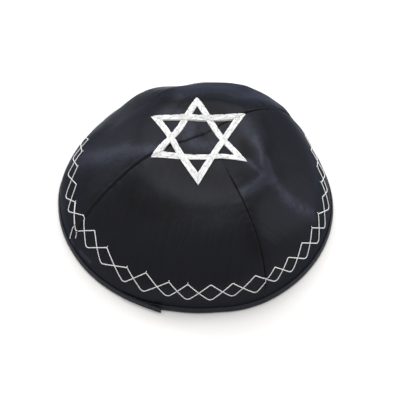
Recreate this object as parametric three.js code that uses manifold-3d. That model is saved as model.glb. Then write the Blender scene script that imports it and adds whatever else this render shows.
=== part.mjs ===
// A satin skullcap of four gores, with a bound rim and a six-pointed star stitched on its crown.
// Millimetres, +Z up, the front towards -Y. It rests on its rim, with the origin in the middle of it.

import * as THREE from 'three';
import Module from 'manifold-3d';

const wasm = await Module();
wasm.setup();

// Cloth and clearances
const WALL = 1.2;
const GAP = 0.3;

// The dome, seen from above and from the side
const RIM_CENTRE = new THREE.Vector2(0.8, -1.2);
const CROWN = new THREE.Vector2(4.6, 6.4);
const CROWN_HEIGHT = 52;
const CORE_HEIGHT = 10;

// Binding round the rim: a strip folded over the lower edge of the panels
const BINDING_LEG = 1.0;
const BINDING_HEIGHT = 4.0;
const BINDING_BEVEL = 0.4;
const LAP = { start: 240, end: 256.5, step: 0.8, rise: 1.4 };

// Panels start just below the crown and end inside the fold of the binding
const TIP = 0.012;
const EDGE_HEIGHT = BINDING_LEG + GAP;

// Profiles from the crown down to the rim, a row for each seam.
// topReach and topRise: how far the crown runs out, and how far it rises, before it turns down.
// wallReach and wallOut: how high the wall stands from the rim, and how far it leans out.
// sway: how far the line swings sideways on its way down, counted anticlockwise seen from above.
const SEAMS = [
  { azimuth: 36, rim: 82.4, topReach: 46, topRise: 14, wallReach: 28, wallOut: 1, sway: -1 },
  { azimuth: 120, rim: 84.8, topReach: 44, topRise: 20, wallReach: 26, wallOut: 1, sway: 0 },
  { azimuth: 209, rim: 83.3, topReach: 42, topRise: 11, wallReach: 20, wallOut: 1, sway: -2.5 },
  { azimuth: 297, rim: 84.7, topReach: 60, topRise: 4, wallReach: 33, wallOut: 1, sway: 2 },
];

// The same profile down the middle of each panel, which lies between its seam and the next one
const PANELS = [
  { name: 'panel_back', rim: 84.8, topReach: 44, topRise: 16, wallReach: 22, wallOut: 1, sway: 0 },
  { name: 'panel_left', rim: 84.8, topReach: 36, topRise: 18, wallReach: 17, wallOut: 2, sway: 0 },
  { name: 'panel_front', rim: 83.5, topReach: 46, topRise: 1.5, wallReach: 27, wallOut: 1, sway: 0 },
  { name: 'panel_right', rim: 83, topReach: 42, topRise: 6, wallReach: 20, wallOut: 0, sway: 0 },
];

// Dents and swells of the cloth, a row for each, along a line from one place on the dome to another.
// down is the share of the way from the crown to the rim; rise is negative in a dent.
const FOLDS = [
  { from: { azimuth: 150, down: 0.12 }, to: { azimuth: 30, down: 0.12 }, width: 16, rise: -3.2 },
  { from: { azimuth: 225, down: 0.12 }, to: { azimuth: 315, down: 0.12 }, width: 14, rise: -1.6 },
  { from: { azimuth: 134, down: 0.48 }, to: { azimuth: 142, down: 0.56 }, width: 17, rise: -3 },
  { from: { azimuth: 160, down: 0.76 }, to: { azimuth: 174, down: 0.82 }, width: 13, rise: 1.5 },
  { from: { azimuth: 101, down: 0.45 }, to: { azimuth: 100, down: 0.6 }, width: 13, rise: -2.5 },
  { from: { azimuth: 66, down: 0.45 }, to: { azimuth: 50, down: 0.5 }, width: 12, rise: 1.5 },
  { from: { azimuth: 12, down: 0.7 }, to: { azimuth: 20, down: 0.75 }, width: 14, rise: -1 },
  { from: { azimuth: 262, down: 1 }, to: { azimuth: 276, down: 1 }, width: 12, rise: -1.3 },
];

// Valley that each seam pulls into the cloth, fading out above the binding
const SEAM_DIP = 0.7;
const SEAM_WIDTH = 4;
const SEAM_FADE = { low: 5, high: 15 };

// Star: points round its middle, a row for each, and the raised bars that join every second point
const STAR_CENTRE = new THREE.Vector2(1.7, 1);
const STAR_POINTS = [
  { azimuth: 34.5, reach: 34 },
  { azimuth: 91.5, reach: 32.5 },
  { azimuth: 149, reach: 33 },
  { azimuth: 210, reach: 30 },
  { azimuth: 269, reach: 32.5 },
  { azimuth: 329, reach: 32 },
];
const STAR_BAR = 3.8;
const STAR_LIFT = 0.45;
const STAR_THICK = 1.0;
const STAR_BEVEL = 0.5;

// Facets
const PANEL_ACROSS = 16;
const PANEL_DOWN = 24;
const BINDING_STEPS = 96;
const BAR_STEPS = 18;
const SEARCH_STEPS = 24;

// Finishes
const SATIN = { color: 0x1d1e25, roughness: 0.42, metalness: 0 };
const BINDING_CLOTH = { color: 0x2c313c, roughness: 0.5, metalness: 0 };
const SILVER_THREAD = { color: 0xf2f1ee, roughness: 0.45, metalness: 0.1 };

// Place at a compass angle and distance from a centre, seen from above
function polar(centre, azimuth, reach) {
  const angle = THREE.MathUtils.degToRad(azimuth);
  return new THREE.Vector2(Math.cos(angle), Math.sin(angle)).multiplyScalar(reach).add(centre);
}

// One column of the profile at a share of the way across a panel, bowed through the middle row
function blend(panel, across, column) {
  const start = SEAMS[panel][column];
  const end = SEAMS[(panel + 1) % SEAMS.length][column];
  const bow = PANELS[panel][column] - (start + end) / 2;
  return THREE.MathUtils.lerp(start, end, across) + bow * 4 * across * (1 - across);
}

function seamAzimuth(seam) {
  const turns = Math.floor(seam / SEAMS.length);
  return SEAMS[seam % SEAMS.length].azimuth + 360 * turns;
}

function azimuthAcross(panel, across) {
  return THREE.MathUtils.lerp(seamAzimuth(panel), seamAzimuth(panel + 1), across);
}

// Panel and share of the way across it that lie at a compass angle
function panelAt(azimuth) {
  const turned = seamAzimuth(0) + THREE.MathUtils.euclideanModulo(azimuth - seamAzimuth(0), 360);
  const panel = SEAMS.findLastIndex((row) => row.azimuth <= turned);
  const width = seamAzimuth(panel + 1) - seamAzimuth(panel);
  return { panel, across: (turned - seamAzimuth(panel)) / width };
}

function rimAt(panel, across) {
  return polar(RIM_CENTRE, azimuthAcross(panel, across), blend(panel, across, 'rim'));
}

// Curve of distance and height, from the crown to the rim
function profile(panel, across, length) {
  const [topReach, topRise, wallReach, wallOut] = ['topReach', 'topRise', 'wallReach', 'wallOut']
    .map((column) => blend(panel, across, column));
  const start = new THREE.Vector2(0, CROWN_HEIGHT);
  const top = new THREE.Vector2(topReach, CROWN_HEIGHT + topRise);
  const wall = new THREE.Vector2(length + wallOut, wallReach);
  const end = new THREE.Vector2(length, EDGE_HEIGHT);
  return new THREE.CubicBezierCurve(start, top, wall, end);
}

// Point of the dome before it is dented
function basePoint(panel, across, down) {
  const outward = rimAt(panel, across).sub(CROWN);
  const length = outward.length();
  const spot = profile(panel, across, length).getPoint(down);
  outward.normalize();
  const sideways = new THREE.Vector2(-outward.y, outward.x);
  const swing = blend(panel, across, 'sway') * Math.sin(Math.PI * down);
  const plan = CROWN.clone().addScaledVector(outward, spot.x).addScaledVector(sideways, swing);
  return new THREE.Vector3(plan.x, plan.y, spot.y);
}

// Direction through the cloth: level near the rim, and away from the core of the dome above it
function outwards(point) {
  const core = new THREE.Vector3(RIM_CENTRE.x, RIM_CENTRE.y, Math.min(point.z, CORE_HEIGHT));
  return point.clone().sub(core).normalize();
}

const foldLines = FOLDS.map((fold) => {
  const [start, end] = [fold.from, fold.to].map((place) => {
    const { panel, across } = panelAt(place.azimuth);
    return basePoint(panel, across, place.down);
  });
  return { ...fold, line: new THREE.Line3(start, end) };
});

// Point on the outside of the cloth
function domePoint(panel, across, down) {
  const point = basePoint(panel, across, down);
  const nearest = new THREE.Vector3();
  let rise = 0;
  for (const fold of foldLines) {
    fold.line.closestPointToPoint(point, true, nearest);
    rise += fold.rise * Math.exp(-((nearest.distanceTo(point) / fold.width) ** 2));
  }
  return point.addScaledVector(outwards(point), rise);
}

// Share of the way down at which the cloth passes a height near the rim
function downAtHeight(panel, across, height) {
  let [above, below] = [0.5, 1];
  for (let step = 0; step < SEARCH_STEPS; step += 1) {
    const middle = (above + below) / 2;
    if (domePoint(panel, across, middle).z > height) {
      above = middle;
    } else {
      below = middle;
    }
  }
  return below;
}

// Point on the outside of the cloth under a place seen from above
function domeUnder(place) {
  const offset = place.clone().sub(CROWN);
  const heading = THREE.MathUtils.radToDeg(offset.angle());
  let azimuth = heading;
  let spot = panelAt(azimuth);
  for (let step = 0; step < SEARCH_STEPS; step += 1) {
    const reached = THREE.MathUtils.radToDeg(rimAt(spot.panel, spot.across).sub(CROWN).angle());
    azimuth += THREE.MathUtils.euclideanModulo(heading - reached + 180, 360) - 180;
    spot = panelAt(azimuth);
  }
  const curve = profile(spot.panel, spot.across, rimAt(spot.panel, spot.across).distanceTo(CROWN));
  let [above, below] = [0, 1];
  for (let step = 0; step < SEARCH_STEPS; step += 1) {
    const middle = (above + below) / 2;
    if (curve.getPoint(middle).x < offset.length()) {
      above = middle;
    } else {
      below = middle;
    }
  }
  return domePoint(spot.panel, spot.across, below);
}

// Closed skin through a row of loops: a ring joins its last loop to its first, and other rows are capped
function loft(loops, ring) {
  const count = loops[0].length;
  const faces = [];
  const quad = (a, b, c, d) => faces.push(a, c, b, a, d, c);
  const spans = ring ? loops.length : loops.length - 1;
  for (let span = 0; span < spans; span += 1) {
    const here = span * count;
    const next = ((span + 1) % loops.length) * count;
    for (let side = 0; side < count; side += 1) {
      const beside = (side + 1) % count;
      quad(here + side, here + beside, next + beside, next + side);
    }
  }
  const last = (loops.length - 1) * count;
  for (let side = 0; side < count / 2 - 1 && !ring; side += 1) {
    const across = count - 1 - side;
    quad(across, across - 1, side + 1, side);
    quad(last + side, last + side + 1, last + across - 1, last + across);
  }
  return skin(loops.flat().flatMap((point) => point.toArray()), faces);
}

function skin(positions, faces) {
  const geometry = new THREE.BufferGeometry();
  geometry.setAttribute('position', new THREE.Float32BufferAttribute(positions, 3));
  geometry.setIndex(faces);
  geometry.computeVertexNormals();
  return geometry;
}

function solid(geometry) {
  const vertProperties = geometry.getAttribute('position').array;
  const triVerts = new Uint32Array(geometry.getIndex().array);
  return new wasm.Manifold(new wasm.Mesh({ numProp: 3, vertProperties, triVerts }));
}

function part(name, geometry, finish) {
  const mesh = new THREE.Mesh(geometry, new THREE.MeshStandardMaterial(finish));
  mesh.name = name;
  return mesh;
}

// Width of a panel along a level line, measured in short chords
function panelWidth(panel, down) {
  let width = 0;
  for (let step = 0; step < PANEL_ACROSS; step += 1) {
    const here = basePoint(panel, step / PANEL_ACROSS, down);
    width += here.distanceTo(basePoint(panel, (step + 1) / PANEL_ACROSS, down));
  }
  return width;
}

// Gore of satin, from its tip at the crown to its lower edge, set back from the seams by half a gap
function panelGeometry(panel) {
  const loops = [];
  for (let row = 0; row <= PANEL_DOWN; row += 1) {
    const down = THREE.MathUtils.lerp(TIP, 1, row / PANEL_DOWN);
    const width = panelWidth(panel, down);
    const setback = GAP / 2 / width;
    const outer = [];
    const inner = [];
    for (let column = 0; column <= PANEL_ACROSS; column += 1) {
      const across = THREE.MathUtils.lerp(setback, 1 - setback, column / PANEL_ACROSS);
      const point = domePoint(panel, across, down);
      const direction = outwards(point);
      const fromSeam = Math.min(across, 1 - across) * width;
      const fade = THREE.MathUtils.smoothstep(point.z, SEAM_FADE.low, SEAM_FADE.high);
      point.addScaledVector(direction, -SEAM_DIP * fade * Math.exp(-((fromSeam / SEAM_WIDTH) ** 2)));
      outer.push(point);
      inner.unshift(point.clone().addScaledVector(direction, -WALL));
    }
    loops.push([...outer, ...inner]);
  }
  return loft(loops, false);
}

// How far the lapped end of the binding stands out at a compass angle
function lapAt(azimuth) {
  const { start, end, step, rise } = LAP;
  if (azimuth > end) {
    return rise * (1 - THREE.MathUtils.smoothstep(azimuth, end, end + step));
  }
  return rise * THREE.MathUtils.smoothstep(azimuth, start, end);
}

// Folded strip: an outer leg, a flat underside and an inner leg, with the panels' edge between the legs
function bindingGeometry() {
  const outside = GAP + BINDING_LEG;
  const inside = -WALL - GAP;
  const heel = inside - BINDING_LEG;
  const azimuths = Array.from({ length: BINDING_STEPS }, (_, step) => (360 * step) / BINDING_STEPS);
  azimuths.push(LAP.end, LAP.end + LAP.step);
  azimuths.sort((a, b) => a - b);
  const loops = azimuths.map((azimuth) => {
    const { panel, across } = panelAt(azimuth);
    const lap = lapAt(azimuth);
    const section = [
      [outside + lap - BINDING_BEVEL, 0],
      [outside + lap, BINDING_BEVEL],
      [outside + lap, BINDING_HEIGHT - BINDING_BEVEL],
      [outside - BINDING_BEVEL, BINDING_HEIGHT],
      [GAP, BINDING_HEIGHT],
      [GAP, BINDING_LEG],
      [inside, BINDING_LEG],
      [inside, BINDING_HEIGHT],
      [heel + BINDING_BEVEL, BINDING_HEIGHT],
      [heel, BINDING_HEIGHT - BINDING_BEVEL],
      [heel, BINDING_BEVEL],
      [heel + BINDING_BEVEL, 0],
    ];
    return section.map(([out, height]) => {
      const point = domePoint(panel, across, downAtHeight(panel, across, height));
      point.addScaledVector(outwards(point), out);
      return point.setZ(height);
    });
  });
  return loft(loops, true);
}

// Raised bars along the sides of one triangle of the star, mitred at its points
function triangleGeometry(points) {
  const triangle = new THREE.Triangle(...points.map((point) => new THREE.Vector3(point.x, point.y, 0)));
  const sides = points.map((_, corner) => points[(corner + 1) % 3].distanceTo(points[(corner + 2) % 3]));
  const around = sides[0] + sides[1] + sides[2];
  const middle = new THREE.Vector2();
  points.forEach((point, corner) => middle.addScaledVector(point, sides[corner] / around));
  const inradius = (2 * triangle.getArea()) / around;
  const shoulder = STAR_LIFT + STAR_THICK - STAR_BEVEL;
  const top = STAR_LIFT + STAR_THICK;
  const section = [
    [0, STAR_LIFT],
    [0, shoulder],
    [STAR_BEVEL, top],
    [STAR_BAR - STAR_BEVEL, top],
    [STAR_BAR, shoulder],
    [STAR_BAR, STAR_LIFT],
  ];
  const loops = [];
  for (let corner = 0; corner < 3; corner += 1) {
    for (let step = 0; step < BAR_STEPS; step += 1) {
      const edge = points[corner].clone().lerp(points[(corner + 1) % 3], step / BAR_STEPS);
      loops.push(section.map(([inset, lift]) => {
        const point = domeUnder(edge.clone().lerp(middle, inset / inradius));
        return point.addScaledVector(outwards(point), lift);
      }));
    }
  }
  return loft(loops, true);
}

function starGeometry() {
  const points = STAR_POINTS.map(({ azimuth, reach }) => polar(STAR_CENTRE, azimuth, reach));
  const upright = solid(triangleGeometry([points[1], points[3], points[5]]));
  const inverted = solid(triangleGeometry([points[0], points[2], points[4]]));
  const fused = upright.add(inverted).getMesh();
  return skin(Array.from(fused.vertProperties), Array.from(fused.triVerts));
}

const cap = new THREE.Group();
PANELS.forEach((row, panel) => cap.add(part(row.name, panelGeometry(panel), SATIN)));
cap.add(part('rim_binding', bindingGeometry(), BINDING_CLOTH));
cap.add(part('star_embroidery', starGeometry(), SILVER_THREAD));

export default cap;
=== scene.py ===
"""A satin skullcap of four gores, with a bound rim, a stitched star and a double zigzag stitch."""

import math

import bpy
import numpy as np
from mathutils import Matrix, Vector


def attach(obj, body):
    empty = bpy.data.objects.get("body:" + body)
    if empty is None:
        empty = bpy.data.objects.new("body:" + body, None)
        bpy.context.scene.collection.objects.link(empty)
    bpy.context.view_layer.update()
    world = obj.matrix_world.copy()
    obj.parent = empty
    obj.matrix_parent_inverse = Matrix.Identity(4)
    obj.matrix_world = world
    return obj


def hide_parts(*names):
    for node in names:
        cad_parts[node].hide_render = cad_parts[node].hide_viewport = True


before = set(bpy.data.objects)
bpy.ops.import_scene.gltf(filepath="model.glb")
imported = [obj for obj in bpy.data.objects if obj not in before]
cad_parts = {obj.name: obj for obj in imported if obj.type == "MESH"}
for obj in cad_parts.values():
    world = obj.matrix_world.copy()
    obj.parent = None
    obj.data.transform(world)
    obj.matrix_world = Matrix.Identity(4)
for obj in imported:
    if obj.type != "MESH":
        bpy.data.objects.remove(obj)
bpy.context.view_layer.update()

# Sizes are in millimetres and angles in degrees, with +Z up and the front towards -Y
MM = 0.001
BODY = "root"
SEED = 7


def table(columns, *rows):
    """Rows of values, each by the names of the columns."""
    return tuple(dict(zip(columns.split(), row, strict=True)) for row in rows)


# The dome, seen from above and from the side
RIM_CENTRE = np.array((0.8, -1.2))
CROWN = np.array((4.6, 6.4))
CROWN_HEIGHT = 52
CORE_HEIGHT = 10
EDGE_HEIGHT = 1.3
WALL = 1.2

# Profiles from the crown down to the rim, a row for each seam.
# top_reach and top_rise: how far the crown runs out, and how far it rises, before it turns down.
# wall_reach and wall_out: how high the wall stands from the rim, and how far it leans out.
# sway: how far the line swings sideways on its way down.
SEAMS = table(
    "azimuth rim top_reach top_rise wall_reach wall_out sway",
    (36, 82.4, 46, 14, 28, 1, -1),
    (120, 84.8, 44, 20, 26, 1, 0),
    (209, 83.3, 42, 11, 20, 1, -2.5),
    (297, 84.7, 60, 4, 33, 1, 2),
)

# How sharply the stitching creases each of those seams (back right, back left, left and front right),
# by the crown and down the side, how far from the crown the one turns into the other, and the lip
# of the panel that ends there
SEAM_CREASES = table(
    "crown side near far lip",
    (1, 3, 8, 30, 0),
    (0, 0.4, 8, 30, 0),
    (1, 1.3, 8, 30, 0.35),
    (0, 1.5, 20, 38, 0),
)

# The same profile down the middle of each panel, which lies between its seam and the next one
PANELS = table(
    "rim top_reach top_rise wall_reach wall_out sway",
    (84.8, 44, 16, 22, 1, 0),
    (84.8, 36, 18, 17, 2, 0),
    (83.5, 46, 1.5, 27, 1, 0),
    (83, 42, 6, 20, 0, 0),
)

# Names of those panels and the flat area of each, in metres
GORES = table(
    "name area",
    ("panel_back", 0.0080),
    ("panel_left", 0.0080),
    ("panel_front", 0.0086),
    ("panel_right", 0.0086),
)

# Dents and swells of the dome, from one place to another, each place an azimuth and a share of the way down
FOLDS = table(
    "start end width rise",
    ((150, 0.12), (30, 0.12), 16, -3.2),
    ((225, 0.12), (315, 0.12), 14, -1.6),
    ((134, 0.48), (142, 0.56), 17, -3),
    ((160, 0.76), (174, 0.82), 13, 1.5),
    ((101, 0.45), (100, 0.6), 13, -2.5),
    ((66, 0.45), (50, 0.5), 12, 1.5),
    ((12, 0.7), (20, 0.75), 14, -1),
    ((262, 1), (276, 1), 12, -1.3),
)

# Shallow folds of the satin, and how much painted light each adds to the colour: a painted highlight, or
# painted shade where it is below nothing
SHEEN_FOLDS = table(
    "start end width rise sheen",
    ((384, 0.21), (360, 0.26), 5, 0.15, 0.32),
    ((360, 0.26), (338, 0.32), 2.2, 0.15, 0.65),
    ((338, 0.32), (328, 0.375), 3, 0.2, 1.0),
    ((328, 0.375), (326, 0.5), 3.2, 0.3, 0.55),
    ((326, 0.5), (334, 0.7), 4.5, 0.4, 0.45),
    ((325, 0.355), (302, 0.33), 3, 0.2, 0.85),
    ((326, 0.25), (326, 0.35), 2, 0.15, 0.6),
    ((350, 0.21), (335, 0.235), 4, 0, -0.25),
    ((170, 0.72), (189, 0.4), 6, 0.5, 0.7),
    ((189, 0.4), (202, 0.27), 4, 0.3, 0.7),
    ((135, 0.2), (60, 0.28), 5, -0.8, 0),
    ((112, 0.34), (60, 0.43), 5, 0.9, 0),
    ((60, 0.43), (41, 0.62), 5, 0.9, 0),
    ((107, 0.28), (60, 0.35), 6, 0, 0.9),
    ((60, 0.35), (44, 0.5), 6, 0, 1.1),
    ((142, 0.24), (132, 0.17), 3, 0.2, 0.3),
    ((128, 0.27), (116, 0.2), 4, 0, -0.2),
    ((100, 0.15), (58, 0.15), 6, 0, -0.2),
    ((124, 0.42), (156, 0.6), 9, 0, -0.25),
    ((209, 0.01), (36, 0.01), 7, 1, 0),
    ((150, 0.08), (304, 0.066), 5, 0, 0.4),
    ((222, 0.35), (296, 0.355), 6, 0.4, 0),
    ((236, 0.2), (298, 0.23), 10, 0, -0.17),
    ((222, 0.45), (250, 0.43), 8, 0, -0.15),
    ((296, 0.4), (295, 0.6), 5, 0, -0.15),
    ((205, 0.925), (209, 0.925), 1.3, 0, 0.8),
    ((215, 0.9), (222, 0.89), 1.3, 0, 0.7),
)
SHEEN_STEPS = 12

# Gentle waves of the whole cloth, from the longest to the shortest
WAVES = dict(longest=42, shortest=17, count=14, rise=0.07)

# Heights between which the folds and waves, and then the seams, come in above the binding
SETTLE = (4.5, 14)
SEAM_FADE = (5, 15)

# Seams: a soft valley, a sharp crease in its middle, small puckers beside it, and the turnings inside
VALLEY = dict(depth=0.45, width=4, near=8, far=30)
CREASE = dict(depth=0.75, width=0.55, crown=0.3, full=5)
LIP = dict(place=1.2, width=0.7)
PUCKER = dict(height=0.16, length=6.5, shares=(1, 0.73, 1.41), width=5)
TURNING = dict(width=7, edge=1, thick=0.5)
SEAM_GAP = 0.02

# Grid of each panel, which starts just below the crown and is finer beside the seams
ROWS = 120
COLUMNS = 120
TIP = 0.003
SEAM_CROWDING = 0.88
WIDTH_STEPS = 32

# Steps of the searches for a place on the cloth
RIM_SEARCH = dict(top=0.4, steps=240)
TURN_STEPS = 12
HALVINGS = 24

# Angles past which an edge stays sharp
SHARP = dict(panel=60, binding=60, star=50, zigzag=80)

# Binding: a strip folded over the lower edge of the panels, with its end lapped at the front left
BINDING = dict(outer=1.3, shoulder=0.5, bulge=1.8, heel=-2.5, height=4.0)
BINDING_SLOT = dict(gap=0.05, floor=1.0)
BINDING_STEPS = 360
BINDING_ROUND = dict(fold=1.0, top=0.4, lip=0.1)
BINDING_WAVE = dict(height=0.12, length=9, detail=1)
ROUND_STEPS = 4
LAP = dict(start=240, end=256.5, rise=1.9, thick=0.9, round=0.3, low=0.2, high=4.1, flare=3, steps=24)

# Star: points round its middle, and the bars that join every second point
STAR_CENTRE = np.array((1.7, 1.0))
STAR_POINTS = table(
    "azimuth reach",
    (34.5, 34),
    (91.5, 32.5),
    (149, 33),
    (210, 30),
    (269, 32.5),
    (329, 32),
)
STAR_BAR = 3.8

# Padding under the thread, how far the second triangle lies over the first, and the rows of stitches
STAR_PAD = dict(low=-0.3, shoulder=0.15, high=0.4, bevel=0.5, steps=48)
STAR_OVER = 0.35
STAR_ROWS = 6
STAR_STITCH = dict(length=6.5, spread=2.0, shortest=1, gap=0.2, width=0.66, height=0.5, shade=0.35)

# Form of one stitch: its steps and sides, how late it tapers, and how thick its ends are
STITCH_FORM = dict(steps=9, sides=7, taper=6, end=0.15)

# Zigzag: two threads that cross, each turning at a high and a low tip in turn.
# The tips of the front and both sides, a row for each, measured up the cloth from the rim
FRONT_TIPS = table(
    "azimuth high low",
    (143, 19.0, 10.0),
    (151.5, 22.5, 13.0),
    (160, 29.5, 21.5),
    (168, 28.5, 19.0),
    (177, 27.0, 17.0),
    (188, 25.5, 13.0),
    (196.5, 21.5, 13.5),
    (208, 25.0, 13.0),
    (218, 25.0, 13.0),
    (228, 23.0, 12.5),
    (240, 19.5, 10.0),
    (248.5, 21.0, 9.0),
    (258.5, 19.5, 10.0),
    (266, 19.5, 9.0),
    (275, 19.5, 9.0),
    (283.5, 20.0, 10.5),
    (292.5, 21.5, 9.5),
    (301.5, 21.0, 11.0),
    (309.5, 20.0, 10.0),
    (319, 20.5, 9.5),
    (329, 20.0, 8.5),
    (338, 19.5, 8.0),
    (348.5, 19.0, 8.5),
    (356.5, 20.5, 12.5),
    (365.5, 22.0, 13.0),
    (375, 25.5, 17.0),
    (384.5, 24.0, 13.5),
)

# The tips at the back, how round the thread turns at a tip, and its two twisted strands
BACK_TIPS = dict(count=11, high=20.5, low=10.0, wobble=0.9)
CORNER = dict(high=0.7, low=2.4)
CORNER_STEPS = 6
THREAD = dict(radius=0.28, sides=10, pitch=2.0, step=0.5, lobe=0.22, under=0.15, over=0.35, shade=0.8)

# Short ends of thread that stand up at some of the high tips
SPURS = dict(share=0.5, below=0.4, above=1.0)

# Start of the stitching at the left: a doubled stretch between two tips, and two loose ends,
# each from one place to another by azimuth and height up the cloth
DOUBLED = dict(tip=6, start=0.05, end=0.8, beside=1.1)
LOOSE_ENDS = table(
    "start end",
    ((205.7, 14.0), (206.3, 5.4)),
    ((208.8, 13.2), (209.9, 9.8)),
)
LOOSE_POINTS = 4

# Weaves: distance between threads, how far each runs before it dips under another, and how sharply
SATIN_WEAVE = dict(spacing=0.28, length=2.2)
BINDING_WEAVE = dict(spacing=0.4, length=0.4)
WEAVE_DIP = 8

# Satin: its share of light threads anywhere, what the streaks add, and the least and most that the crinkles
# make of a fold's painted highlight
SHINE = dict(anywhere=0.28, streak=0.25, low=-0.3, high=2.3)

# Its streaks, clouds and the crinkles that break up the painted highlights, by their size over the cloth,
# how fine the crinkles get, and the depth of clouds and threads
SATIN = dict(streak=(1.2, 26, 1), cloud=(7, 11, 1), painted_crinkle=(2.2, 3, 1), fine=6, crush=0.25, thread=0.02)

# How rough it is and what the streaks add, how metallic, how far its gloss runs along the threads,
# and the tint of that gloss
SATIN_GLOSS = dict(roughness=0.26, spread=0.12, metallic=0.6, along=0.4, tint=(0.48, 0.5, 0.55, 1))

# Cloth of the binding, with the radius that it is laid round at and the size of its worn places
BINDING_CLOTH = dict(radius=85, worn=(5, 2, 1), thread=0.06, roughness=0.55, spread=0.15, gloss=0.3)

# Silvery thread, with the size, depth and contrast of its grain
GRAIN = dict(size=(0.35, 0.35, 0.35), depth=0.06, contrast=0.6)
THREAD_GLOSS = dict(roughness=0.45, gloss=0.4)

# Colours
# Besides its streaks, the satin runs between these two colours: painted highlights lift it towards the
# light one and painted shade lowers it towards the dark one
SATIN_DARK = (0.0096, 0.0091, 0.0076)
SATIN_LIGHT = (0.036, 0.038, 0.05)
BINDING_DARK = (0.006, 0.008, 0.012)
BINDING_LIGHT = (0.013, 0.017, 0.026)
# From the darkest thread, which is also the painted shade of the star's padding, to the lightest
THREAD_DARK = (0.5, 0.5, 0.51)
THREAD_LIGHT = (0.97, 0.97, 0.96)

# Camera, with the size of its sensor beside the length of its lens
CAMERA = dict(target=(2.65, -2.13, 0), distance=520, elevation=50, lens=75.24, sensor=36)

# Room, in metres: a pale floor and the light from all sides
FLOOR = dict(half=4.0, colour=(0.9, 0.89, 0.88, 1), roughness=0.9)
ROOM_LIGHT = dict(colour=(1, 0.995, 0.99, 1), strength=0.6)

# Lights, in metres and watts, and the place that they face
LAMP_AIM = (0, 0, 0.03)
LAMPS = table(
    "name place width height power",
    ("overhead", (0, 0.38, 0.92), 1.1, 1.1, 9.6),
    ("left_window", (-0.75, 0.7, 0.4), 0.25, 0.7, 2.4),
    ("right_window", (1.0, 0.27, 0.35), 0.25, 0.8, 2.4),
    ("back_strip", (0.2, 1.2, 0.12), 1.4, 0.25, 2.5),
)


# Shape of the dome

def column(rows, name):
    return np.array([row[name] for row in rows], float)


def smoothstep(value, low, high):
    share = np.clip((value - low) / (high - low), 0, 1)
    return share * share * (3 - 2 * share)


def unit(vectors):
    return vectors / np.linalg.norm(vectors, axis=-1, keepdims=True)


def polar(centre, azimuth, reach):
    angle = np.radians(azimuth)
    return np.stack([centre[0] + reach * np.cos(angle), centre[1] + reach * np.sin(angle)], -1)


def blend(panel, across, name):
    """One column of the profile at a share of the way across a panel, bowed through its middle row."""
    seams = column(SEAMS, name)
    start, end = seams[panel], seams[(panel + 1) % len(SEAMS)]
    bow = column(PANELS, name)[panel] - (start + end) / 2
    return start + (end - start) * across + bow * 4 * across * (1 - across)


def panel_spans():
    """Azimuth at which each panel starts, and how many degrees it takes up."""
    starts = column(SEAMS, "azimuth")
    return starts, (np.roll(starts, -1) - starts) % 360


def panel_at(azimuth):
    """Panel that lies at an azimuth, and the share of the way across it."""
    starts, spans = panel_spans()
    past = (np.asarray(azimuth, float)[..., None] - starts) % 360
    panel = np.argmin(past, axis=-1)
    return panel, np.min(past, axis=-1) / spans[panel]


def rim_at(panel, across):
    starts, spans = panel_spans()
    return polar(RIM_CENTRE, starts[panel] + spans[panel] * across, blend(panel, across, "rim"))


def base_point(panel, across, down):
    """Point of the dome before it is dented."""
    outward = rim_at(panel, across) - CROWN
    length = np.linalg.norm(outward, axis=-1)
    outward = outward / length[..., None]
    sideways = np.stack([-outward[..., 1], outward[..., 0]], -1)
    up = 1 - down
    start, first, second, last = up**3, 3 * up**2 * down, 3 * up * down**2, down**3
    reach = first * blend(panel, across, "top_reach") + last * length
    reach = reach + second * (length + blend(panel, across, "wall_out"))
    height = start * CROWN_HEIGHT + first * (CROWN_HEIGHT + blend(panel, across, "top_rise"))
    height = height + second * blend(panel, across, "wall_reach") + last * EDGE_HEIGHT
    swing = blend(panel, across, "sway") * np.sin(np.pi * down)
    plan = CROWN + outward * reach[..., None] + sideways * swing[..., None]
    return np.concatenate([plan, height[..., None]], -1)


def outwards(points):
    """Direction through the cloth: level near the rim, and away from the core of the dome above it."""
    core = np.empty_like(points)
    core[..., :2] = RIM_CENTRE
    core[..., 2] = np.minimum(points[..., 2], CORE_HEIGHT)
    return unit(points - core)


def fold_line(fold, steps):
    """Points along a fold: its two ends on the plain dome, or several steps over the dented one."""
    azimuth, down = np.linspace(fold["start"], fold["end"], steps + 1).T
    if steps == 1:
        return base_point(*panel_at(azimuth), down)
    return dome_point(*panel_at(azimuth), down)


def fold_share(points, fold, steps):
    """How near each point lies to a fold, from 1 on it down to 0 far away."""
    line = fold_line(fold, steps)
    nearest = np.full(points.shape[:-1], np.inf)
    for start, end in zip(line[:-1], line[1:]):
        along = end - start
        share = np.clip((points - start) @ along / (along @ along), 0, 1)
        gap = np.linalg.norm(points - start - share[..., None] * along, axis=-1)
        nearest = np.minimum(nearest, gap)
    return np.exp(-((nearest / fold["width"]) ** 2))


def fold_total(points, folds, name, steps=1):
    """Sum of one column over all folds near each point."""
    return sum(fold[name] * fold_share(points, fold, steps) for fold in folds)


def dome_point(panel, across, down):
    """Point on the outside of the dome."""
    points = base_point(panel, across, down)
    return points + outwards(points) * fold_total(points, FOLDS, "rise")[..., None]


def waves(points):
    """Gentle seeded waves of the cloth."""
    random = np.random.default_rng(SEED)
    rise = np.zeros(points.shape[:-1])
    for length in np.geomspace(WAVES["longest"], WAVES["shortest"], WAVES["count"]):
        heading = unit(random.normal(size=3))
        phase = random.uniform(0, 2 * np.pi)
        rise += WAVES["rise"] * np.sin(2 * np.pi * (points @ heading) / length + phase)
    return rise


def cloth_point(panel, across, down):
    """Point on the outside of the cloth, with its shallow folds, before the seams pull it in."""
    points = dome_point(panel, across, down)
    settle = smoothstep(points[..., 2], *SETTLE)
    rise = settle * (fold_total(points, SHEEN_FOLDS, "rise", SHEEN_STEPS) + waves(points))
    return points + outwards(points) * rise[..., None]


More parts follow.
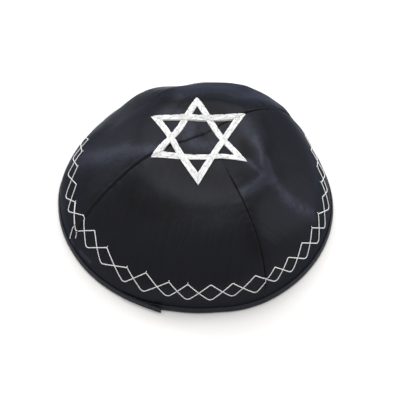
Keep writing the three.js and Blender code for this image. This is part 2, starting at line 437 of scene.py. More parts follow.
def down_above_rim(azimuth, reach):
    """Share of the way down at which the cloth lies some way up from the rim, measured along it."""
    down = np.linspace(1, RIM_SEARCH["top"], RIM_SEARCH["steps"])
    found = []
    for angle, wanted in zip(np.ravel(azimuth), np.ravel(reach)):
        panel, across = panel_at(np.full(down.shape, angle))
        points = dome_point(panel, across, down)
        steps = np.linalg.norm(np.diff(points, axis=0), axis=-1)
        found.append(np.interp(wanted, np.concatenate([[0], np.cumsum(steps)]), down))
    return np.array(found)


def cloth_above_rim(azimuth, reach):
    panel, across = panel_at(azimuth)
    return cloth_point(panel, across, down_above_rim(azimuth, reach))


def cloth_under(places):
    """Points on the outside of the cloth under places seen from above."""
    places = np.asarray(places, float)
    offset = places - CROWN
    heading = np.degrees(np.arctan2(offset[..., 1], offset[..., 0]))
    azimuth = heading.copy()
    for _ in range(TURN_STEPS):
        reached = rim_at(*panel_at(azimuth)) - CROWN
        azimuth += (heading - np.degrees(np.arctan2(reached[..., 1], reached[..., 0])) + 180) % 360 - 180
    panel, across = panel_at(azimuth)
    wanted = np.linalg.norm(offset, axis=-1)
    above, below = np.zeros_like(wanted), np.ones_like(wanted)
    for _ in range(HALVINGS):
        middle = (above + below) / 2
        short = np.linalg.norm(base_point(panel, across, middle)[..., :2] - CROWN, axis=-1) < wanted
        above, below = np.where(short, middle, above), np.where(short, below, middle)
    return cloth_point(panel, across, below)


# Meshes

def add_piece(name, mesh):
    piece = bpy.data.objects.new(name, mesh)
    bpy.context.scene.collection.objects.link(piece)
    return piece


def make_mesh(name, points, faces, edges=()):
    mesh = bpy.data.meshes.new(name)
    mesh.from_pydata((np.asarray(points) * MM).tolist(), list(edges), np.asarray(faces).tolist())
    return mesh


def set_attribute(mesh, name, kind, values):
    attribute = mesh.attributes.new(name, kind, "POINT")
    field = "vector" if kind == "FLOAT_VECTOR" else "value"
    attribute.data.foreach_set(field, np.asarray(values, np.float32).ravel())


def grid_faces(rows, columns, first=0):
    """Quads of a grid whose points run row by row."""
    corner = first + np.arange(rows)[:, None] * (columns + 1) + np.arange(columns)
    quads = np.stack([corner, corner + columns + 1, corner + columns + 2, corner + 1], -1)
    return quads.reshape(-1, 4)


def ring_faces(rows, columns):
    """Quads of a grid whose last row meets its first, and whose last column meets its first."""
    index = np.arange(rows * columns).reshape(rows, columns)
    beside, under = np.roll(index, -1, 1), np.roll(index, -1, 0)
    return np.stack([index, beside, np.roll(under, -1, 1), under], -1).reshape(-1, 4)


def shell_faces(rows, columns):
    """Quads of an outer and an inner grid, joined round their edge."""
    count = (rows + 1) * (columns + 1)
    outer = grid_faces(rows, columns)
    inner = grid_faces(rows, columns, count)[:, ::-1]
    index = np.arange(count).reshape(rows + 1, columns + 1)
    edge = np.concatenate([index[:-1, 0], index[-1, :-1], index[:0:-1, -1], index[0, :0:-1]])
    beside = np.roll(edge, -1)
    rim = np.stack([beside, edge, edge + count, beside + count], -1)
    return np.concatenate([outer, inner, rim])


def smooth(mesh, sharp_angle):
    mesh.shade_smooth()
    mesh.set_sharp_from_angle(angle=math.radians(sharp_angle))


def panel_widths(panel, down):
    """Width of a panel along level lines."""
    across = np.linspace(0, 1, WIDTH_STEPS + 1)
    points = base_point(panel, across[None, :], down[:, None])
    return np.linalg.norm(np.diff(points, axis=1), axis=-1).sum(axis=1)


def pucker_rise(seam, along, gap):
    """Small waves that the stitching draws up beside a seam."""
    random = np.random.default_rng(SEED + seam)
    rise = np.zeros(np.broadcast(along, gap).shape)
    for share in PUCKER["shares"]:
        phase = random.uniform(0, 2 * np.pi)
        rise = rise + np.sin(2 * np.pi * along / (PUCKER["length"] * share) + phase)
    height = PUCKER["height"] / len(PUCKER["shares"])
    return height * rise * np.exp(-((gap / PUCKER["width"]) ** 2))


def crease_rise(seam, along, gap, lipped):
    """Sharp crease along a seam, and the lip beside it."""
    row = SEAM_CREASES[seam]
    down_side = smoothstep(along, row["near"], row["far"])
    sharpness = row["crown"] + (row["side"] - row["crown"]) * down_side
    deepening = smoothstep(along, 0, CREASE["full"])
    depth = CREASE["depth"] * (CREASE["crown"] + (1 - CREASE["crown"]) * deepening)
    crease = depth * sharpness * np.exp(-gap / CREASE["width"])
    lip = lipped * row["lip"] * down_side * np.exp(-(((gap - LIP["place"]) / LIP["width"]) ** 2))
    return lip - crease


def seam_rise(panel, along, across, width):
    """How far both seams of a panel draw its cloth in or out."""
    start, end = across * width, (1 - across) * width
    after = (panel + 1) % len(SEAMS)
    rise = pucker_rise(panel, along, start) + pucker_rise(after, along, end)
    rise = rise + crease_rise(panel, along, start, 0) + crease_rise(after, along, end, 1)
    valley = VALLEY["depth"] * np.exp(-((np.minimum(start, end) / VALLEY["width"]) ** 2))
    return rise - valley * smoothstep(along, VALLEY["near"], VALLEY["far"])


def panel_surface(panel):
    """Outer grid of a gore, the distance of each point from its seam, and its flat place on the cloth."""
    down = np.linspace(TIP, 1, ROWS + 1)
    width = panel_widths(panel, down)[:, None]
    share = np.linspace(0, 1, COLUMNS + 1)
    crowded = share + SEAM_CROWDING * (smoothstep(share, 0, 1) - share)
    setback = SEAM_GAP / width
    across = setback + (1 - 2 * setback) * crowded
    down = np.broadcast_to(down[:, None], across.shape)
    points = cloth_point(panel, across, down)
    steps = np.linalg.norm(np.diff(points[:, COLUMNS // 2], axis=0), axis=-1)
    along = np.concatenate([[0], np.cumsum(steps)])[:, None]
    fade = smoothstep(points[..., 2], *SEAM_FADE)
    rise = fade * seam_rise(panel, along, across, width)
    points = points + outwards(points) * rise[..., None]
    from_seam = np.minimum(across, 1 - across) * width
    flat = np.stack(np.broadcast_arrays((across - 0.5) * width, -along), -1)
    return points, from_seam, flat


def build_panel(panel, finish):
    """Gore of satin as a closed shell, with its seam turnings on the inside."""
    outer, from_seam, flat = panel_surface(panel)
    fade = smoothstep(outer[..., 2], *SEAM_FADE)
    turning = 1 - smoothstep(from_seam, TURNING["width"], TURNING["width"] + TURNING["edge"])
    thick = WALL + TURNING["thick"] * turning * fade
    inner = outer - outwards(outer) * thick[..., None]
    points = np.concatenate([outer.reshape(-1, 3), inner.reshape(-1, 3)])
    name = GORES[panel]["name"]
    mesh = make_mesh(name, points, shell_faces(ROWS, COLUMNS))
    corner = np.empty(len(mesh.loops), np.int64)
    mesh.loops.foreach_get("vertex_index", corner)
    places = np.concatenate([flat.reshape(-1, 2)] * 2)[corner]
    mesh.uv_layers.new(name="cloth").data.foreach_set("uv", places.astype(np.float32).ravel())
    # Painted highlights of the folds, or painted shade where below nothing, and none on the inside
    sheen = fold_total(outer, SHEEN_FOLDS, "sheen", SHEEN_STEPS).ravel()
    set_attribute(mesh, "sheen", "FLOAT", np.concatenate([sheen, np.zeros_like(sheen)]))
    smooth(mesh, SHARP["panel"])
    mesh.materials.append(finish)
    return add_piece(name + "_satin", mesh)


def build_guide():
    """Outside of all four panels, which the threads are laid on."""
    grids = [panel_surface(panel)[0].reshape(-1, 3) for panel in range(len(PANELS))]
    faces = [grid_faces(ROWS, COLUMNS, len(grids[0]) * panel) for panel in range(len(PANELS))]
    return add_piece("guide", make_mesh("guide", np.concatenate(grids), np.concatenate(faces)))


# Node trees

def connect(tree, node, inputs):
    """Links or sets inputs of a node."""
    for name, value in inputs.items():
        if isinstance(value, bpy.types.NodeSocket):
            tree.links.new(value, node.inputs[name])
        else:
            node.inputs[name].default_value = value


def add(tree, kind, settings=None, inputs=None):
    """Adds a node with its options and inputs."""
    node = tree.nodes.new(kind)
    node.location = (200 * len(tree.nodes), 0)
    for name, value in (settings or {}).items():
        setattr(node, name, value)
    connect(tree, node, inputs or {})
    return node


def math_node(tree, operation, *values):
    return add(tree, "ShaderNodeMath", {"operation": operation}, dict(enumerate(values))).outputs[0]


def vector_node(tree, operation, *values):
    return add(tree, "ShaderNodeVectorMath", {"operation": operation}, dict(enumerate(values))).outputs[0]


def scaled(tree, vector, factor):
    node = add(tree, "ShaderNodeVectorMath", {"operation": "SCALE"}, {0: vector, "Scale": factor})
    return node.outputs[0]


def new_tree(name, inputs):
    """Geometry tree with a geometry input and output, and other named inputs."""
    tree = bpy.data.node_groups.new(name, "GeometryNodeTree")
    tree.interface.new_socket("Geometry", in_out="INPUT", socket_type="NodeSocketGeometry")
    for label, kind in inputs.items():
        tree.interface.new_socket(label, in_out="INPUT", socket_type="NodeSocket" + kind)
    tree.interface.new_socket("Geometry", in_out="OUTPUT", socket_type="NodeSocketGeometry")
    return tree, add(tree, "NodeGroupInput").outputs


def end_tree(tree, geometry, finish):
    realized = add(tree, "GeometryNodeRealizeInstances", None, {"Geometry": geometry}).outputs[0]
    inputs = {"Geometry": realized, "Material": finish}
    painted = add(tree, "GeometryNodeSetMaterial", None, inputs).outputs[0]
    add(tree, "NodeGroupOutput", None, {"Geometry": painted})


def join(tree, *parts):
    joined = add(tree, "GeometryNodeJoinGeometry")
    for part in parts:
        tree.links.new(part, joined.inputs[0])
    return joined.outputs[0]


def named(tree, name, kind="FLOAT"):
    return add(tree, "GeometryNodeInputNamedAttribute", {"data_type": kind}, {"Name": name}).outputs[0]


def grow(piece, tree, finish, **values):
    """Runs a tree on a piece and keeps the result as a plain mesh of one finish."""
    modifier = piece.modifiers.new(tree.name, "NODES")
    modifier.node_group = tree
    for item in tree.interface.items_tree:
        if item.in_out == "INPUT" and item.name in values:
            modifier[item.identifier] = values[item.name]
    depsgraph = bpy.context.evaluated_depsgraph_get()
    grown = bpy.data.meshes.new_from_object(piece.evaluated_get(depsgraph), depsgraph=depsgraph)
    piece.modifiers.remove(modifier)
    grown.materials.clear()
    grown.materials.append(finish)
    piece.data = grown
    return piece


# Finishes

def new_material(name):
    material = bpy.data.materials.new(name)
    material.use_nodes = True
    tree = material.node_tree
    return material, tree, tree.nodes["Principled BSDF"]


def shader_group(name, inputs, outputs):
    """Shader group with named inputs and outputs."""
    tree = bpy.data.node_groups.new(name, "ShaderNodeTree")
    for side, sockets in (("INPUT", inputs), ("OUTPUT", outputs)):
        for label, kind in sockets.items():
            tree.interface.new_socket(label, in_out=side, socket_type="NodeSocket" + kind)
    return tree, add(tree, "NodeGroupInput").outputs


def noise(tree, place, size, detail=2):
    """Noise between 0 and 1, with features of a size along each axis."""
    stretched = vector_node(tree, "DIVIDE", place, size)
    inputs = {"Vector": stretched, "Scale": 1, "Detail": detail}
    return add(tree, "ShaderNodeTexNoise", None, inputs).outputs[0]


def mix_colours(tree, first, second, share):
    node = add(tree, "ShaderNodeMix", {"data_type": "RGBA"}, {"Factor": share})
    for name, colour in (("A_Color", first), ("B_Color", second)):
        socket = next(socket for socket in node.inputs if socket.identifier == name)
        socket.default_value = (*colour, 1)
    return next(socket for socket in node.outputs if socket.identifier == "Result_Color")


def bump(tree, height, depth, normal=None):
    """Normal bent by a height between 0 and 1 that stands for a depth in millimetres."""
    inputs = {"Height": height, "Distance": depth * MM}
    if normal:
        inputs["Normal"] = normal
    return add(tree, "ShaderNodeBump", None, inputs).outputs[0]


def weave_group():
    """Threads side by side on a cloth: how high each stands, and a shade of its own."""
    taken = {"Place": "Vector", "Spacing": "Float", "Length": "Float"}
    given = {"Height": "Float", "Shade": "Float"}
    tree, inputs = shader_group("weave", taken, given)
    place = add(tree, "ShaderNodeSeparateXYZ", None, {0: inputs["Place"]}).outputs
    across = math_node(tree, "DIVIDE", place["X"], inputs["Spacing"])
    thread = math_node(tree, "FLOOR", across)
    settings = {"noise_dimensions": "1D"}
    shade = add(tree, "ShaderNodeTexWhiteNoise", settings, {"W": thread}).outputs["Value"]
    half_turn = math_node(tree, "MULTIPLY", math_node(tree, "FRACT", across), math.pi)
    arch = math_node(tree, "SINE", half_turn)
    run = math_node(tree, "ADD", math_node(tree, "DIVIDE", place["Y"], inputs["Length"]), shade)
    from_middle = math_node(tree, "MULTIPLY_ADD", math_node(tree, "FRACT", run), 2, -1)
    dip = math_node(tree, "POWER", math_node(tree, "ABSOLUTE", from_middle), WEAVE_DIP)
    height = math_node(tree, "MULTIPLY", arch, math_node(tree, "SUBTRACT", 1, dip))
    add(tree, "NodeGroupOutput", None, {"Height": height, "Shade": shade})
    return tree


def weave_on(tree, weave, place, row):
    inputs = {"Place": place, "Spacing": row["spacing"], "Length": row["length"]}
    return add(tree, "ShaderNodeGroup", {"node_tree": weave}, inputs).outputs


def satin_finish(weave):
    """Dark satin, partly metallic so that it stays dark at its edges as smooth threads do, with painted
    highlights and painted shade in its colour along the folds.
    """
    material, tree, shader = new_material("satin")
    place = add(tree, "ShaderNodeUVMap", {"uv_map": "cloth"}).outputs[0]
    threads = weave_on(tree, weave, place, SATIN_WEAVE)
    streak = noise(tree, place, SATIN["streak"])
    crushed = bump(tree, noise(tree, place, SATIN["cloud"]), SATIN["crush"])
    # Painted light of the folds: painted highlights, broken up by the crinkles, lift the colour and painted
    # shade lowers it
    sheen = add(tree, "ShaderNodeAttribute", {"attribute_name": "sheen"}).outputs["Fac"]
    spread = SHINE["high"] - SHINE["low"]
    painted_crinkle = noise(tree, place, SATIN["painted_crinkle"], SATIN["fine"])
    painted_highlight_blotch = math_node(tree, "MULTIPLY_ADD", painted_crinkle, spread, SHINE["low"])
    painted_highlight, painted_shade = (math_node(tree, limit, sheen, 0) for limit in ("MAXIMUM", "MINIMUM"))
    light = math_node(tree, "MULTIPLY_ADD", painted_highlight, painted_highlight_blotch, SHINE["anywhere"])
    light = math_node(tree, "MULTIPLY_ADD", streak, SHINE["streak"], math_node(tree, "ADD", light, painted_shade))
    gloss = SATIN_GLOSS
    tangent = add(tree, "ShaderNodeTangent", {"direction_type": "UV_MAP", "uv_map": "cloth"}).outputs[0]
    connect(tree, shader, {
        "Base Color": mix_colours(tree, SATIN_DARK, SATIN_LIGHT, light),
        "Roughness": math_node(tree, "MULTIPLY_ADD", streak, gloss["spread"], gloss["roughness"]),
        "Normal": bump(tree, threads["Height"], SATIN["thread"], crushed), "Tangent": tangent,
        "Metallic": gloss["metallic"], "Specular IOR Level": 0, "Specular Tint": gloss["tint"],
        "Anisotropic": gloss["along"]})
    return material


def binding_finish(weave):
    """Plainer cloth than the panels, with a duller shine."""
    material, tree, shader = new_material("binding")
    place = add(tree, "ShaderNodeTexCoord").outputs["Object"]
    parts = add(tree, "ShaderNodeSeparateXYZ", None, {0: place}).outputs
    angle = math_node(tree, "ARCTAN2", parts["Y"], parts["X"])
    around = math_node(tree, "MULTIPLY", angle, BINDING_CLOTH["radius"])
    up = math_node(tree, "MULTIPLY", parts["Z"], 1 / MM)
    flat = add(tree, "ShaderNodeCombineXYZ", None, {"X": around, "Y": up}).outputs[0]
    threads = weave_on(tree, weave, flat, BINDING_WEAVE)
    worn = noise(tree, flat, BINDING_CLOTH["worn"])
    least, spread = BINDING_CLOTH["roughness"], BINDING_CLOTH["spread"]
    connect(tree, shader, {
        "Base Color": mix_colours(tree, BINDING_DARK, BINDING_LIGHT, worn),
        "Roughness": math_node(tree, "MULTIPLY_ADD", threads["Shade"], spread, least),
        "Normal": bump(tree, threads["Height"], BINDING_CLOTH["thread"]),
        "Specular IOR Level": BINDING_CLOTH["gloss"]})
    return material


def thread_finish():
    """Silvery thread, each stitch with a shade of its own; the star's padding has none and so takes the
    darkest colour, painted shade between the stitches.
    """
    material, tree, shader = new_material("silver_thread")
    shade = add(tree, "ShaderNodeAttribute", {"attribute_name": "shade"}).outputs["Fac"]
    place = scaled(tree, add(tree, "ShaderNodeTexCoord").outputs["Object"], 1 / MM)
    grain = noise(tree, place, GRAIN["size"])
    uneven = math_node(tree, "SUBTRACT", grain, 0.5)
    light = math_node(tree, "MULTIPLY_ADD", uneven, GRAIN["contrast"], shade)
    connect(tree, shader, {
        "Base Color": mix_colours(tree, THREAD_DARK, THREAD_LIGHT, light),
        "Normal": bump(tree, grain, GRAIN["depth"]),
        "Roughness": THREAD_GLOSS["roughness"], "Specular IOR Level": THREAD_GLOSS["gloss"]})
    return material


# Binding

def polyline(points, first=0, closed=False):
    """Edges that join points in a row."""
    index = first + np.arange(len(points))
    edges = np.stack([index, np.roll(index, -1)], -1)
    return edges if closed else edges[:-1]


def section_piece(name, corners):
    """Closed outline of a strip, with the radius of each corner."""
    places = [(out, -height, 0) for out, height, _ in corners]
    mesh = make_mesh(name, places, [], polyline(places, closed=True))
    set_attribute(mesh, "round", "FLOAT", [radius * MM for _, _, radius in corners])
    return add_piece(name, mesh)


def binding_section():
    outer, heel, height = BINDING["outer"], BINDING["heel"], BINDING["height"]
    near, far, floor = BINDING_SLOT["gap"], -WALL - BINDING_SLOT["gap"], BINDING_SLOT["floor"]
    fold, top, lip = BINDING_ROUND["fold"], BINDING_ROUND["top"], BINDING_ROUND["lip"]
    return section_piece("binding_section", (
        (BINDING["shoulder"], height, top), (outer, BINDING["bulge"], fold), (outer, 0, fold),
        (heel, 0, fold), (heel, height, top),
        (far, height, lip), (far, floor, 0), (near, floor, 0), (near, height, lip),
    ))


def lap_section():
    outer, low, high, corner = LAP["thick"], LAP["low"], LAP["high"], LAP["round"]
    return section_piece("lap_section", (
        (outer, high, corner), (outer, low, corner), (0, low, corner), (0, high, corner)))


def rim_line(azimuth, out):
    """Points on the floor under the lower edge of the cloth, some way outside it."""
    points = dome_point(*panel_at(azimuth), np.ones_like(azimuth))
    points = points + outwards(points) * np.asarray(out)[..., None]
    points[..., 2] = 0
    return points


def sweep(tree, path, section):
    """Strip of one section along a level path."""
    section = add(tree, "GeometryNodeObjectInfo", None, {"Object": section}).outputs["Geometry"]
    outline = add(tree, "GeometryNodeMeshToCurve", None, {"Mesh": section}).outputs[0]
    rounded = add(tree, "GeometryNodeFilletCurve", {"mode": "POLY"}, {
        "Curve": outline, "Count": ROUND_STEPS, "Radius": named(tree, "round"),
        "Limit Radius": True}).outputs[0]
    line = add(tree, "GeometryNodeMeshToCurve", None, {"Mesh": path}).outputs[0]
    upright = add(tree, "GeometryNodeSetCurveNormal", {"mode": "Z_UP"}, {"Curve": line}).outputs[0]
    return add(tree, "GeometryNodeCurveToMesh", None, {
        "Curve": upright, "Profile Curve": rounded, "Fill Caps": True}).outputs[0]


def binding_tree(finish):
    tree, inputs = new_tree("binding_strip", {
        "Section": "Object", "Lap Section": "Object", "Strip Height": "Float",
        "Wave Height": "Float", "Wave Length": "Float"})
    parted = add(tree, "GeometryNodeSeparateGeometry", {"domain": "POINT"}, {
        "Geometry": inputs["Geometry"], "Selection": named(tree, "lap")})
    strip = sweep(tree, parted.outputs["Inverted"], inputs["Section"])
    lap = sweep(tree, parted.outputs["Selection"], inputs["Lap Section"])
    place = add(tree, "GeometryNodeInputPosition").outputs[0]
    height = add(tree, "ShaderNodeSeparateXYZ", None, {0: place}).outputs["Z"]
    above = math_node(tree, "DIVIDE", height, inputs["Strip Height"])
    often = math_node(tree, "DIVIDE", 1, inputs["Wave Length"])
    wave = add(tree, "ShaderNodeTexNoise", None, {
        "Vector": place, "Scale": often, "Detail": BINDING_WAVE["detail"]}).outputs[0]
    both_ways = math_node(tree, "MULTIPLY_ADD", wave, 2, -1)
    wave = math_node(tree, "MULTIPLY", both_ways, inputs["Wave Height"])
    normal = add(tree, "GeometryNodeInputNormal").outputs[0]
    offset = scaled(tree, normal, math_node(tree, "MULTIPLY", wave, above))
    waved = add(tree, "GeometryNodeSetPosition", None, {
        "Geometry": join(tree, strip, lap), "Offset": offset}).outputs[0]
    end_tree(tree, waved, finish)
    return tree


def build_binding(finish):
    ring = np.arange(BINDING_STEPS) * 360 / BINDING_STEPS
    lap = np.linspace(LAP["start"], LAP["end"], LAP["steps"] + 1)
    share = (lap - LAP["start"]) / (LAP["end"] - LAP["start"])
    out = BINDING["outer"] - LAP["thick"] + LAP["rise"] * share**LAP["flare"]
    points = np.concatenate([rim_line(ring, np.zeros_like(ring)), rim_line(lap, out)])
    edges = np.concatenate([polyline(ring, closed=True), polyline(lap, len(ring))])
    mesh = make_mesh("rim_binding_strip", points, [], edges)
    set_attribute(mesh, "lap", "FLOAT", np.arange(len(points)) >= len(ring))
    sections = binding_section(), lap_section()
    piece = grow(add_piece("rim_binding_strip", mesh), binding_tree(finish), finish, **{
        "Section": sections[0], "Lap Section": sections[1], "Strip Height": BINDING["height"] * MM,
        "Wave Height": BINDING_WAVE["height"] * MM, "Wave Length": BINDING_WAVE["length"] * MM})
    for section in sections:
        bpy.data.objects.remove(section)
    smooth(piece.data, SHARP["binding"])
    return piece


# Star

def star_triangles():
    """Corners of the upright triangle, and of the inverted one that lies over it."""
    points = polar(STAR_CENTRE, column(STAR_POINTS, "azimuth"), column(STAR_POINTS, "reach"))
    return points[1::2], points[0::2]


def inset(corners, distance):
    """Triangle whose sides lie some way inside those of another."""
    sides = np.linalg.norm(np.roll(corners, -1, 0) - np.roll(corners, -2, 0), axis=-1)
    middle = (sides @ corners) / sides.sum()
    edge = corners[1] - corners[0]
    inradius = abs(edge[0] * (middle - corners[0])[1] - edge[1] * (middle - corners[0])[0]) / sides[2]
    return corners + (middle - corners) * distance / inradius


def on_star(places, lift):
    """Points some way above the cloth under places seen from above."""
    points = cloth_under(places)
    return points + outwards(points) * lift


def star_pad(corners, over):
    """Points of the padding under the thread rows of one triangle, a row for each corner of its section."""
    low, shoulder, high, bevel = (STAR_PAD[name] for name in ("low", "shoulder", "high", "bevel"))
    section = (
        (0, low), (0, shoulder + over), (bevel, high + over),
        (STAR_BAR - bevel, high + over), (STAR_BAR, shoulder + over), (STAR_BAR, low))
    share = np.arange(STAR_PAD["steps"])[:, None] / STAR_PAD["steps"]
    rows = []
    for distance, lift in section:
        ring = inset(corners, distance)
        line = np.concatenate([a + (b - a) * share for a, b in zip(ring, np.roll(ring, -1, 0))])
        rows.append(on_star(line, lift))
    return np.stack(rows)


def build_padding():
    """Raised bars under the thread rows of both triangles."""
    grids = [star_pad(corners, over) for corners, over in zip(star_triangles(), (0, STAR_OVER))]
    faces = ring_faces(*grids[0].shape[:2])
    points = np.concatenate([grid.reshape(-1, 3) for grid in grids])
    faces = np.concatenate([faces, faces + len(points) // 2])
    return add_piece("star_padding", make_mesh("star_padding", points, faces))


def stitch_ends(corners, random):
    """Both ends of each stitch of one triangle, seen from above: rows of stitches along its sides."""
    ends = []
    for row in range(STAR_ROWS):
        ring = inset(corners, STAR_BAR * (row + 0.5) / STAR_ROWS)
        for start, end in zip(ring, np.roll(ring, -1, 0)):
            length = np.linalg.norm(end - start)
            stop = random.uniform(0, STAR_STITCH["length"])
            stops = [0]
            while stop < length:
                stops.append(stop)
                stop += STAR_STITCH["length"] + random.uniform(-1, 1) * STAR_STITCH["spread"]
            stops.append(length)
            places = start + np.outer(stops, end - start) / length
            for near, far in zip(places[:-1], places[1:]):
                if np.linalg.norm(far - near) > STAR_STITCH["shortest"]:
                    ends.append((near, far))
    return np.array(ends)


def star_tree(finish):
    tree, inputs = new_tree("thread_rows", {
        "Padding": "Object", "Width": "Float", "Height": "Float", "Gap": "Float"})
    line = add(tree, "GeometryNodeCurvePrimitiveLine", None, {
        "Start": (-0.5, 0, 0), "End": (0.5, 0, 0)}).outputs[0]
    line = add(tree, "GeometryNodeResampleCurve", {"mode": "COUNT"}, {
        "Curve": line, "Count": STITCH_FORM["steps"]}).outputs[0]
    along = add(tree, "GeometryNodeSplineParameter").outputs["Factor"]
    from_middle = math_node(tree, "ABSOLUTE", math_node(tree, "MULTIPLY_ADD", along, 2, -1))
    full = math_node(tree, "SUBTRACT", 1, math_node(tree, "POWER", from_middle, STITCH_FORM["taper"]))
    radius = math_node(tree, "MAXIMUM", math_node(tree, "SQRT", full), STITCH_FORM["end"])
    line = add(tree, "GeometryNodeSetCurveRadius", None, {"Curve": line, "Radius": radius}).outputs[0]
    circle = add(tree, "GeometryNodeCurvePrimitiveCircle", {"mode": "RADIUS"}, {
        "Resolution": STITCH_FORM["sides"], "Radius": 0.5}).outputs[0]
    stitch = add(tree, "GeometryNodeCurveToMesh", None, {
        "Curve": line, "Profile Curve": circle, "Fill Caps": True,
        "Scale": add(tree, "GeometryNodeInputRadius").outputs[0]}).outputs[0]
    direction = named(tree, "along", "FLOAT_VECTOR")
    turn = add(tree, "FunctionNodeAxesToRotation", {"primary_axis": "X", "secondary_axis": "Z"}, {
        "Primary Axis": direction, "Secondary Axis": named(tree, "out", "FLOAT_VECTOR")}).outputs[0]
    length = add(tree, "ShaderNodeVectorMath", {"operation": "LENGTH"}, {0: direction}).outputs["Value"]
    shown = math_node(tree, "SUBTRACT", length, inputs["Gap"])
    size = add(tree, "ShaderNodeCombineXYZ", None, {
        "X": shown, "Y": inputs["Width"], "Z": inputs["Height"]}).outputs[0]
    rows = add(tree, "GeometryNodeInstanceOnPoints", None, {
        "Points": inputs["Geometry"], "Instance": stitch, "Rotation": turn, "Scale": size}).outputs[0]
    padding = add(tree, "GeometryNodeObjectInfo", None, {"Object": inputs["Padding"]}).outputs["Geometry"]
    # The padding has no shade of its own, so it takes the darkest thread colour: painted shade in the gaps
    # between the stitches
    end_tree(tree, join(tree, rows, padding), finish)
    return tree


def build_star(finish):
    random = np.random.default_rng(SEED)
    ends, middle = [], []
    for corners, over in zip(star_triangles(), (0, STAR_OVER)):
        places = stitch_ends(corners, random)
        ends.append(on_star(places, STAR_PAD["high"] + over))
        middle.append(on_star(places.mean(1), STAR_PAD["high"] + over))
    ends, middle = np.concatenate(ends), np.concatenate(middle)
    mesh = make_mesh("star_stitches", middle, [])
    set_attribute(mesh, "along", "FLOAT_VECTOR", (ends[:, 1] - ends[:, 0]) * MM)
    set_attribute(mesh, "out", "FLOAT_VECTOR", outwards(middle))
    set_attribute(mesh, "shade", "FLOAT", random.uniform(STAR_STITCH["shade"], 1, len(ends)))
    padding = build_padding()
    piece = grow(add_piece("star_stitches", mesh), star_tree(finish), finish, **{
        "Padding": padding, "Width": STAR_STITCH["width"] * MM, "Height": STAR_STITCH["height"] * MM,
        "Gap": STAR_STITCH["gap"] * MM})
    bpy.data.objects.remove(padding)
    smooth(piece.data, SHARP["star"])
    return piece


# Zigzag

def zigzag_tips():
    """Azimuth, high and low reach of every tip, the front ones first, then seeded ones at the back."""
    azimuth, high, low = (column(FRONT_TIPS, name) for name in ("azimuth", "high", "low"))
    random = np.random.default_rng(SEED)
    count, wobble = BACK_TIPS["count"], BACK_TIPS["wobble"]
    hidden = np.linspace(azimuth[-1], azimuth[0] + 360, count + 2)[1:-1]
    azimuth = np.concatenate([azimuth, hidden + random.normal(0, wobble, count)])
    high = np.concatenate([high, BACK_TIPS["high"] + random.normal(0, wobble, count)])
    low = np.concatenate([low, BACK_TIPS["low"] + random.normal(0, wobble, count)])
    return azimuth % 360, high, low


def open_line(azimuth, reach):
    """Line with plain corners that lies over the others."""
    count = len(azimuth)
    return azimuth, reach, np.zeros(count), np.full(count, THREAD["over"]), False


def zigzag_lines():
    """Both closed threads, the doubled stretch, the spurs and the loose ends.

    Each line holds its azimuth, reach, corner radius and lift, and whether it is closed.
    """
    azimuth, high, low = zigzag_tips()
    lines = []
    for parity, lift in ((0, THREAD["under"]), (1, THREAD["over"])):
        is_high = np.arange(len(azimuth)) % 2 == parity
        reach = np.where(is_high, high, low)
        corner = np.where(is_high, CORNER["high"], CORNER["low"])
        lines.append((azimuth, reach, corner, np.full(len(azimuth), lift), True))
    tip = DOUBLED["tip"]
    share = np.array((DOUBLED["start"], 0.5, DOUBLED["end"]))
    doubled_azimuth = azimuth[tip] + (azimuth[tip + 1] - azimuth[tip]) * share
    doubled_reach = high[tip] + (low[tip + 1] - high[tip]) * share + DOUBLED["beside"]
    lines.append(open_line(doubled_azimuth, doubled_reach))
    random = np.random.default_rng(SEED)
    for angle, reach in zip(azimuth, high):
        if random.uniform() < SPURS["share"]:
            spur = np.array((reach - SPURS["below"], reach + SPURS["above"]))
            lines.append(open_line(np.full(2, angle), spur))
    for end in LOOSE_ENDS:
        lines.append(open_line(*np.linspace(end["start"], end["end"], LOOSE_POINTS).T))
    return lines


def zigzag_tree(finish):
    tree, inputs = new_tree("zigzag_thread", {
        "Cloth": "Object", "Radius": "Float", "Pitch": "Float", "Step": "Float", "Lobe": "Float"})
    cloth = add(tree, "GeometryNodeObjectInfo", None, {"Object": inputs["Cloth"]}).outputs["Geometry"]
    line = add(tree, "GeometryNodeMeshToCurve", None, {"Mesh": inputs["Geometry"]}).outputs[0]
    bent = add(tree, "GeometryNodeFilletCurve", {"mode": "POLY"}, {
        "Curve": line, "Count": CORNER_STEPS, "Radius": named(tree, "corner"),
        "Limit Radius": True}).outputs[0]
    even = add(tree, "GeometryNodeResampleCurve", {"mode": "LENGTH"}, {
        "Curve": bent, "Length": inputs["Step"]}).outputs[0]
    laid = lay_on(tree, even, cloth)
    parameter = add(tree, "GeometryNodeSplineParameter")
    turns = math_node(tree, "DIVIDE", parameter.outputs["Length"], inputs["Pitch"])
    twisted = add(tree, "GeometryNodeSetCurveTilt", None, {
        "Curve": laid, "Tilt": math_node(tree, "MULTIPLY", turns, 2 * math.pi)}).outputs[0]
    strand = add(tree, "GeometryNodeCurveToMesh", None, {
        "Curve": twisted, "Profile Curve": two_ply(tree, inputs), "Fill Caps": True}).outputs[0]
    end_tree(tree, strand, finish)
    return tree


def lay_on(tree, line, cloth):
    """Moves a line onto the cloth, lifted by its own lift."""
    near = add(tree, "GeometryNodeProximity", {"target_element": "FACES"}, {0: cloth}).outputs["Position"]
    normal = add(tree, "GeometryNodeInputNormal").outputs[0]
    out = add(tree, "GeometryNodeSampleNearestSurface", {"data_type": "FLOAT_VECTOR"}, {
        "Mesh": cloth, "Value": normal}).outputs[0]
    place = vector_node(tree, "ADD", near, scaled(tree, out, named(tree, "lift")))
    return add(tree, "GeometryNodeSetPosition", None, {"Geometry": line, "Position": place}).outputs[0]


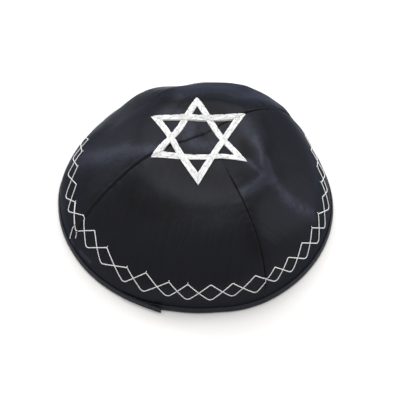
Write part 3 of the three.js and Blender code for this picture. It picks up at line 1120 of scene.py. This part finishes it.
def two_ply(tree, inputs):
    """Section of a thread of two strands."""
    circle = add(tree, "GeometryNodeCurvePrimitiveCircle", {"mode": "RADIUS"}, {
        "Resolution": THREAD["sides"], "Radius": inputs["Radius"]}).outputs[0]
    around = add(tree, "GeometryNodeSplineParameter").outputs["Factor"]
    turn = math_node(tree, "MULTIPLY", around, 4 * math.pi)
    swell = math_node(tree, "MULTIPLY_ADD", math_node(tree, "COSINE", turn), inputs["Lobe"], 1)
    place = scaled(tree, add(tree, "GeometryNodeInputPosition").outputs[0], swell)
    return add(tree, "GeometryNodeSetPosition", None, {"Geometry": circle, "Position": place}).outputs[0]


def build_zigzag(finish, guide):
    points, edges, corners, lifts = [], [], [], []
    for azimuth, reach, corner, lift, closed in zigzag_lines():
        edges.append(polyline(azimuth, sum(map(len, points)), closed))
        points.append(cloth_above_rim(azimuth, reach))
        corners.append(corner)
        lifts.append(lift)
    mesh = make_mesh("zigzag_stitch", np.concatenate(points), [], np.concatenate(edges))
    set_attribute(mesh, "corner", "FLOAT", np.concatenate(corners) * MM)
    set_attribute(mesh, "lift", "FLOAT", np.concatenate(lifts) * MM)
    set_attribute(mesh, "shade", "FLOAT", np.full(len(mesh.vertices), THREAD["shade"]))
    piece = grow(add_piece("zigzag_stitch", mesh), zigzag_tree(finish), finish, **{
        "Cloth": guide, "Radius": THREAD["radius"] * MM, "Pitch": THREAD["pitch"] * MM,
        "Step": THREAD["step"] * MM, "Lobe": THREAD["lobe"]})
    smooth(piece.data, SHARP["zigzag"])
    return piece


# Room

def build_room():
    corners = np.array([(-1, -1, 0), (1, -1, 0), (1, 1, 0), (-1, 1, 0)]) * FLOOR["half"] / MM
    floor = add_piece("floor", make_mesh("floor", corners, [(0, 1, 2, 3)]))
    material, tree, shader = new_material("pale_floor")
    connect(tree, shader, {"Base Color": FLOOR["colour"], "Roughness": FLOOR["roughness"]})
    floor.data.materials.append(material)
    world = bpy.data.worlds.new("room")
    bpy.context.scene.world = world
    world.use_nodes = True
    connect(world.node_tree, world.node_tree.nodes["Background"], {
        "Color": ROOM_LIGHT["colour"], "Strength": ROOM_LIGHT["strength"]})


def add_softbox(name, place, width, height, power):
    """Flat light that faces the cap."""
    light = bpy.data.lights.new(name, "AREA")
    light.shape = "RECTANGLE"
    light.size, light.size_y = width, height
    light.energy = power
    lamp = bpy.data.objects.new(name, light)
    bpy.context.scene.collection.objects.link(lamp)
    lamp.location = place
    lamp.rotation_euler = (Vector(LAMP_AIM) - Vector(place)).to_track_quat("-Z", "Y").to_euler()


def add_camera():
    camera = bpy.data.objects.new("camera", bpy.data.cameras.new("camera"))
    bpy.context.scene.collection.objects.link(camera)
    rise = math.radians(CAMERA["elevation"])
    back = Vector((0, -math.cos(rise), math.sin(rise)))
    camera.location = (Vector(CAMERA["target"]) + back * CAMERA["distance"]) * MM
    camera.rotation_euler = (math.pi / 2 - rise, 0, 0)
    camera.data.sensor_width = CAMERA["sensor"]
    camera.data.lens = CAMERA["lens"]
    bpy.context.scene.camera = camera


bpy.context.scene.view_settings.view_transform = "Standard"
add_camera()
build_room()
for lamp in LAMPS:
    add_softbox(**lamp)
weave = weave_group()
satin = satin_finish(weave)
for panel, row in enumerate(GORES):
    piece = build_panel(panel, satin)
    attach(piece, BODY)
    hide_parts(row["name"])

binding = build_binding(binding_finish(weave))
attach(binding, BODY)
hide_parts("rim_binding")

thread = thread_finish()
star = build_star(thread)
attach(star, BODY)
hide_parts("star_embroidery")

guide = build_guide()
zigzag = build_zigzag(thread, guide)
bpy.data.objects.remove(guide)
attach(zigzag, BODY)
